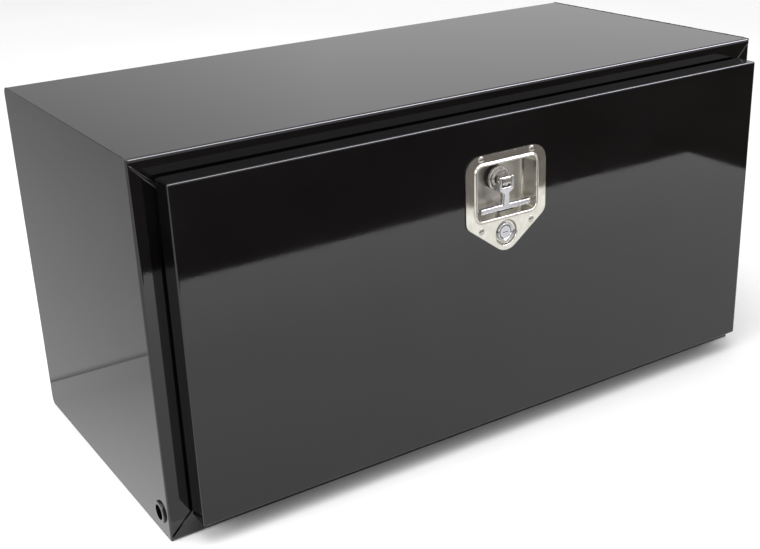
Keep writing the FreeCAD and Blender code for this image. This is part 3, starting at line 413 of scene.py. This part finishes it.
def make_latch_dish():
    """Pressed plate: pointed outline, rolled rim, deep round-cornered well and the lock's cup."""
    mesh = bmesh.new()
    outline = [at_latch(x, z, PLATE_FRONT) for x, z in round_polygon(PLATE_OUTLINE, PLATE_RADII)]
    outer = [mesh.verts.new(point) for point in outline]
    well_rings = []
    for out, depth in WELL_SECTION:
        well_rings.append([at_latch(x, z, depth) for x, z in well_ring(out)])
    well = loft(mesh, well_rings)
    floor_depth = WELL_SECTION[-1][1]
    round_hole = arc_points((0, 0), SPINDLE_HOLE_RADIUS, 0, 355, 71)
    hole = [mesh.verts.new(at_latch(x, z, floor_depth)) for x, z in round_hole]
    floor_edges = boundary(mesh, well[-1]) + boundary(mesh, hole)
    bmesh.ops.triangle_fill(mesh, use_beauty=True, edges=floor_edges)
    open_cam_slot(mesh)
    cup_rings = []
    for radius, depth in RECESS_SECTION:
        ring = arc_points((0.0, LOCK_Z), radius, 0, 355, 71)
        cup_rings.append([at_latch(x, z, depth) for x, z in ring])
    cup = loft(mesh, cup_rings)
    edges = boundary(mesh, outer) + boundary(mesh, well[0]) + boundary(mesh, cup[0])
    bmesh.ops.triangle_fill(mesh, use_beauty=True, edges=edges)
    piece = add_piece(
        "latch_dish_pressed", mesh, "door", pressed_stainless(), ("latch_dish",)
    )
    sheet = piece.modifiers.new("sheet_thickness", "SOLIDIFY")
    sheet.thickness = PLATE_WALL * MM
    sheet.offset = -1.0
    soften(piece, 0.35 * MM, 2, 60.0)


def make_latch_rivets():
    """Four low domed rivets."""
    mesh = bmesh.new()
    dome = [(-1.4, 4.3), (-1.9, 4.2), (-2.35, 3.7), (-2.75, 2.9), (-3.0, 1.9), (-3.1, 0.8)]
    for x in (-RIVET_X, RIVET_X):
        for z in RIVET_HEIGHTS:
            turn_profile(mesh, smooth_profile(dome), Vector(at_latch(x, z, 0.0)), 32)
    add_piece(
        "latch_rivets_domed", mesh, "door", FINISHES["polished_stainless"], stands_for=("latch_rivets",)
    )


def make_bushing():
    """Flanged bushing: rounded rim, dished face and a raised collar round the spindle."""
    mesh = bmesh.new()
    profile = [
        (33.0, 12.0), (15.6, 12.0), (15.5, 15.4), (15.0, 16.0), (12.8, 16.0), (11.6, 15.2),
        (11.5, 13.4), (12.6, 12.2), (12.8, 11.0), (11.4, 10.2), (10.6, 9.9), (10.6, 6.2),
    ]
    turn_profile(mesh, smooth_profile(profile, 1), LATCH)
    add_piece(
        "spindle_bushing_turned", mesh, "door", FINISHES["zinc_steel"], stands_for=("spindle_bushing",)
    )


def make_lock_case():
    """Lock case: a rounded bezel that slopes in to a narrow groove round the plug."""
    mesh = bmesh.new()
    profile = [
        (11.0, 9.5), (2.4, 9.5), (2.3, 11.6), (1.9, 12.0), (0.6, 12.0), (-0.5, 11.6), (-1.0, 10.8),
        (-0.8, 9.8), (0.4, 8.7), (1.4, 8.4), (2.0, 8.0), (2.0, 7.9),
    ]
    turn_profile(mesh, smooth_profile(profile, 1), LOCK)
    add_piece("lock_case_turned", mesh, "door", FINISHES["lock_chrome"], stands_for=("lock_case",))


HANDLE_HALF = 3.5
HANDLE_DEPTH = 1.3
HANDLE_POINTS = (
    (-38.0, -36.2), (-5.6, -36.4), (5.6, -36.4), (38.0, -36.2),
    (-38.0, -29.8), (-5.6, -29.6), (5.6, -29.6), (38.0, -29.8),
    (-5.0, -15.5), (5.0, -15.5),
    (-10.8, -11.5), (10.8, -11.5), (-6.6, -8.0), (6.6, -8.0),
    (-10.8, 5.5), (-6.6, 5.5), (6.6, 5.5), (10.8, 5.5),
)
HANDLE_FACES = (
    (0, 1, 5, 4), (1, 2, 6, 5), (2, 3, 7, 6), (5, 6, 9, 8), (8, 9, 13, 12),
    (8, 12, 10), (9, 11, 13), (10, 12, 15, 14), (13, 11, 17, 16),
)
STEM_LEAN = 0.07
STEM_TOP = -8.0
LEAN_SPAN = 14.0
FACE_PROUD = 0.3


def handle_front(z):
    """The stem's front face leans back towards the bar, as it is forged."""
    below_top = max(0.0, min(STEM_TOP - z, LEAN_SPAN))
    return HANDLE_DEPTH - HANDLE_HALF + STEM_LEAN * below_top - FACE_PROUD


def make_handle():
    """Folding T-handle: flat bar with soft edges, leaning stem and two fork arms."""
    mesh = bmesh.new()
    front = [mesh.verts.new(at_latch(x, z, handle_front(z))) for x, z in HANDLE_POINTS]
    back = [mesh.verts.new(at_latch(x, z, HANDLE_DEPTH + HANDLE_HALF)) for x, z in HANDLE_POINTS]
    uses = {}
    for face in HANDLE_FACES:
        mesh.faces.new([front[i] for i in face])
        mesh.faces.new([back[i] for i in reversed(face)])
        for pair in zip(face, face[1:] + face[:1]):
            uses.setdefault(frozenset(pair), []).append(pair)
    for pairs in uses.values():
        if len(pairs) == 1:
            i, j = pairs[0]
            mesh.faces.new((front[j], front[i], back[i], back[j]))
    piece = add_piece(
        "t_handle_forged", mesh, "handle", FINISHES["lock_chrome"], ("t_handle",)
    )
    soften(piece, 1.5 * MM, 4)


def make_handle_hook():
    """The hook behind the bar that the lock's cam holds."""
    mesh = bmesh.new()
    section = ((4.0, -31.0), (4.0, -35.6), (14.6, -35.6), (14.6, -39.0), (17.0, -39.0), (17.0, -31.0))
    sides = [[at_latch(x, z, depth) for depth, z in section] for x in (-3.0, 3.0)]
    made = loft(mesh, sides)
    mesh.faces.new(made[0])
    mesh.faces.new(made[1])
    piece = add_piece("handle_hook", mesh, "handle", FINISHES["lock_chrome"])
    soften(piece, 0.6 * MM)


# ---------------------------------------------------------------------------
# Box: weld beads and the door seal
# ---------------------------------------------------------------------------
WELD_STEP = 3.2 * MM
WELD_RADIUS = 0.95 * MM
MITRE_WELD_RADIUS = 1.9 * MM
CORNER_WELD_RADIUS = 1.5 * MM
MITRE_SHIFT = 6.5 * MM
MITRE_RUN = 38.0 * MM
SEAL_WIDTH = 10.0 * MM
SEAL_CORNER_RADIUS = 14.0 * MM
random.seed(7)


def bead(mesh, path, radius, flat=1.0, sides=8):
    """A weld bead along a path: a tube whose ripples vary a little, with pointed ends."""
    rings = []
    for i, point in enumerate(path):
        ahead = path[min(i + 1, len(path) - 1)]
        behind = path[max(i - 1, 0)]
        along = (ahead - behind).normalized()
        across = along.cross(Vector((0.0, 1.0, 0.0)))
        if across.length < 0.1:
            across = along.cross(UP)
        across.normalize()
        rise = along.cross(across)
        taper = min(1.0, 0.25 + 0.35 * min(i, len(path) - 1 - i))
        size = radius * taper * random.uniform(0.78, 1.18)
        turns = [2 * math.pi * side / sides for side in range(sides)]
        rings.append([point + (across * math.cos(t) + rise * math.sin(t) * flat) * size for t in turns])
    made = loft(mesh, rings)
    mesh.faces.new(made[0])
    mesh.faces.new(made[-1])


def spread(points, step):
    """Evenly placed points along straight runs between the given ones."""
    path = []
    for start, end in zip(points, points[1:]):
        count = max(1, round((end - start).length / step))
        path += [start.lerp(end, i / count) for i in range(count)]
    return path + [points[-1]]


def make_end_welds(side, name):
    """The seam where one end meets the wrapped sheet: over the top, down the back and underneath."""
    x = side * (HALF_WIDTH - 0.9 * MM)
    bend = 9.0 * MM
    inset = 0.2 * MM
    front, back = FLANGE_Y + 5.0 * MM, BACK_Y - inset
    top, bottom = HEIGHT - inset, WELD_RADIUS + inset
    corner_top = arc_points((back - bend, top - bend), bend, 90, 0, 6)
    corner_bottom = arc_points((back - bend, bottom + bend), bend, 0, -90, 6)
    places = [(front, top), *corner_top, *corner_bottom, (front, bottom)]
    mesh = bmesh.new()
    bead(mesh, spread([Vector((x, y, z)) for y, z in places], WELD_STEP), WELD_RADIUS)
    piece = add_piece(name, mesh, "shell", FINISHES["black_powder_coat"])
    rounded = piece.modifiers.new("smooth_ripples", "SUBSURF")
    rounded.levels = rounded.render_levels = 1


def make_mitre_welds():
    """Flat ground beads along the two upper mitres, and a spot of weld on each front corner."""
    mesh = bmesh.new()
    for side in (-1, 1):
        outer = Vector((side * (HALF_WIDTH - 2.0 * MM), FLANGE_Y, HEIGHT - MITRE_SHIFT))
        inner = outer - Vector((side * MITRE_RUN, 0.0, MITRE_RUN))
        bead(mesh, spread([outer, inner], WELD_STEP), MITRE_WELD_RADIUS, 0.4)
        for z in (HEIGHT - 1.2 * MM, 2.0 * MM):
            corner = Vector((side * (HALF_WIDTH - 1.6 * MM), FLANGE_Y + 1.6 * MM, z))
            reach = Vector((side * 1.4 * MM, 0.0, 0.0))
            bead(mesh, spread([corner - reach, corner + reach], 0.5 * MM), CORNER_WELD_RADIUS)
    piece = add_piece("corner_welds", mesh, "shell", FINISHES["black_powder_coat"])
    rounded = piece.modifiers.new("smooth_ripples", "SUBSURF")
    rounded.levels = rounded.render_levels = 1


def make_door_seal():
    """Bulb seal round the door's back: a flat foot and a hollow-looking round bulb."""
    low, high = (Vector(corner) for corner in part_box("door_seal"))
    depth = high.y - low.y
    section = [
        (0.0, 0.0), (0.0, 0.35), (0.12, 0.5), (0.16, 0.8), (0.3, 0.97), (0.5, 1.0),
        (0.7, 0.97), (0.84, 0.8), (0.88, 0.5), (1.0, 0.35), (1.0, 0.0),
    ]
    rings = []
    for inward, rise in section:
        inset = inward * SEAL_WIDTH
        ring = round_rectangle(
            high.x - inset, low.z + inset, high.z - inset, SEAL_CORNER_RADIUS - inset, 8
        )
        rings.append([(x, low.y + rise * depth, z) for x, z in ring])
    mesh = bmesh.new()
    made = loft(mesh, rings)
    first, last = made[0], made[-1]
    for i in range(len(first)):
        j = (i + 1) % len(first)
        mesh.faces.new((first[j], first[i], last[i], last[j]))
    piece = add_piece("door_seal_bulb", mesh, "door", FINISHES["seal_rubber"], stands_for=("door_seal",))
    soften(piece, 0.3 * MM, 2, 60.0)


# ---------------------------------------------------------------------------
# Stage: floor, lights and camera
# ---------------------------------------------------------------------------
FLOOR_SIZE = 30.0
CARD_HEIGHT = 0.001
SHEET_FRONT = -1.012
SHEET_RIGHT = 1.13
SHEET_BACK = 0.27
SHADE_REACH = 2.3
FAR_LEFT = -4.0
FAR_FRONT = -4.0
FAR_RIGHT = 5.0
BACKDROP_Y = 3.5
PANEL_HEIGHT = 2.6
PANEL_LEFT = 0.2
PANEL_RIGHT = 3.8


def make_floor():
    bpy.ops.mesh.primitive_plane_add(size=FLOOR_SIZE)
    floor = bpy.context.object
    floor.name = "studio_floor"
    surface = Shader("pale_floor")
    surface.feed(surface.ramp(surface.noise(0.6, detail=4.0), (0.3, 0.90), (0.7, 0.93)), "Base Color")
    surface.set(Roughness=0.6, Specular_IOR_Level=0.0)
    floor.data.materials.append(surface.material)


def reflection_card(name, low, high, glow, height=CARD_HEIGHT, upright=False):
    """A level or upright card, seen only in reflections, with its own soft glow."""
    bpy.ops.mesh.primitive_plane_add(size=1.0)
    card = bpy.context.object
    card.name = name
    card.scale = (high[0] - low[0], high[1] - low[1], 1.0)
    card.location = ((low[0] + high[0]) / 2, (low[1] + high[1]) / 2, height)
    if upright:
        card.rotation_euler = (math.pi / 2, 0.0, 0.0)
        card.location = ((low[0] + high[0]) / 2, BACKDROP_Y, (low[1] + high[1]) / 2)
    card.visible_camera = False
    card.visible_diffuse = False
    card.visible_shadow = False
    surface = Shader(name)
    surface.set(Base_Color=(0.0, 0.0, 0.0, 1.0), Emission_Strength=1.0, Specular_IOR_Level=0.0)
    surface.places = surface.nodes.new("ShaderNodeNewGeometry").outputs["Position"]
    surface.feed(glow(surface), "Emission Color")
    card.data.materials.append(surface.material)


def painted_dark_floor_reflection(surface):
    """Painted reflection of a brown floor beyond the white sheet, a glow seen only in reflections."""
    mottle = surface.noise(0.4, detail=3.0)
    return surface.ramp(mottle, (0.3, (0.088, 0.069, 0.065)), (0.7, (0.12, 0.096, 0.092)))


def painted_shaded_floor_reflection(surface):
    """Painted reflection of the grey floor behind the white sheet, with painted shade: darker the
    further it lies from the box.
    """
    reach = surface.reach("Y", SHEET_BACK, SHEET_BACK + SHADE_REACH)
    return surface.ramp(reach, (0.0, 0.30), (0.008, 0.70), (0.15, 0.62), (0.5, 0.50), (1.0, 0.38))


def painted_side_sheet_reflection(surface):
    """Painted reflection of the white sheet beside the box, with painted light brightest near its front.
    """
    reach = surface.reach("Y", SHEET_FRONT, SHEET_BACK)
    return surface.ramp(reach, (0.5, 1.5), (0.72, 1.1), (0.95, 0.70))


def painted_front_sheet_reflection(surface):
    """Painted reflection of the white sheet before the door, with painted light brighter towards its
    front edge.
    """
    reach = surface.reach("Y", SHEET_FRONT, FLANGE_Y)
    return surface.ramp(reach, (0.0, 1.42), (0.35, 1.14), (0.9, 0.88))


def painted_backdrop_reflection(surface):
    """Painted reflection of the room behind, with painted shade darker on the left."""
    reach = surface.reach("X", -1.0, FAR_RIGHT)
    return surface.ramp(reach, (0.15, 0.42), (0.27, 0.53), (0.48, 0.78), (0.9, 0.82))


def painted_highlight_panel(surface):
    """Painted highlight: a glowing panel overhead, seen only in reflections, that draws the thin bright
    lines along the folded edges.
    """
    reach = surface.reach("X", PANEL_LEFT, PANEL_RIGHT)
    return surface.ramp(reach, (0.0, (11.0, 10.8, 12.0)), (0.35, (19.0, 18.6, 21.0)))


def make_reflection_cards():
    shade_back = SHEET_BACK + SHADE_REACH
    reflection_card("card_in_front", (FAR_LEFT, FAR_FRONT), (FAR_RIGHT, SHEET_FRONT), painted_dark_floor_reflection)
    reflection_card("card_at_right", (SHEET_RIGHT, SHEET_FRONT), (FAR_RIGHT, 1.0), painted_dark_floor_reflection)
    reflection_card("card_at_left", (FAR_LEFT, SHEET_BACK), (-0.46, shade_back), painted_shaded_floor_reflection)
    reflection_card("card_beside", (FAR_LEFT, DOOR_Y), (-HALF_WIDTH, SHEET_BACK), painted_side_sheet_reflection)
    reflection_card("card_before", (FAR_LEFT, SHEET_FRONT), (SHEET_RIGHT, DOOR_Y), painted_front_sheet_reflection)
    reflection_card("card_overhead", (PANEL_LEFT, -1.5), (PANEL_RIGHT, -0.6), painted_highlight_panel, PANEL_HEIGHT)
    reflection_card("card_behind", (-3.0, 0.3), (8.0, 3.5), painted_backdrop_reflection, upright=True)


def make_light(name, place, aim, width, depth, power):
    lamp = bpy.data.lights.new(name, "AREA")
    lamp.shape = "RECTANGLE"
    lamp.size = width
    lamp.size_y = depth
    lamp.energy = power
    holder = bpy.data.objects.new(name, lamp)
    holder.location = place
    holder.rotation_euler = (Vector(aim) - Vector(place)).to_track_quat("-Z", "Y").to_euler()
    bpy.context.collection.objects.link(holder)


def make_world():
    world = bpy.data.worlds.new("studio_world")
    world.use_nodes = True
    sky = world.node_tree.nodes["Background"]
    sky.inputs["Color"].default_value = (1.0, 1.0, 1.0, 1.0)
    sky.inputs["Strength"].default_value = 0.90
    bpy.context.scene.world = world


def make_camera():
    """Seen from the front left and above, with a long lens."""
    azimuth = math.radians(32.47)
    elevation = math.radians(22.07)
    roll = math.radians(2.05)
    lens = bpy.data.cameras.new("camera")
    lens.sensor_width = 36.0
    lens.lens = 56.44
    lens.shift_x = -0.0187
    lens.shift_y = -0.0036
    camera = bpy.data.objects.new("camera", lens)
    turn = Matrix.Rotation(-azimuth, 4, "Z") @ Matrix.Rotation(math.pi / 2 - elevation, 4, "X")
    place = Matrix.Translation((-0.8535, -1.3299, 0.7949))
    camera.matrix_world = place @ turn @ Matrix.Rotation(-roll, 4, "Z")
    bpy.context.collection.objects.link(camera)
    bpy.context.scene.camera = camera


finish_cad_nodes()
make_latch_dish()
make_latch_rivets()
make_bushing()
make_lock_case()
make_handle()
make_handle_hook()
make_end_welds(-1, "end_weld_left")
make_end_welds(1, "end_weld_right")
make_mitre_welds()
make_door_seal()
make_floor()
make_reflection_cards()
make_world()
make_light("key_softbox", (-0.6, -0.4, 2.8), (0.0, 0.0, 0.0), 2.4, 2.4, 55.0)
make_light("left_softbox", (-2.2, -0.6, 1.3), (-0.9, 0.0, 0.0), 1.4, 1.0, 22.0)
make_camera()
bpy.context.scene.view_settings.view_transform = "Standard"
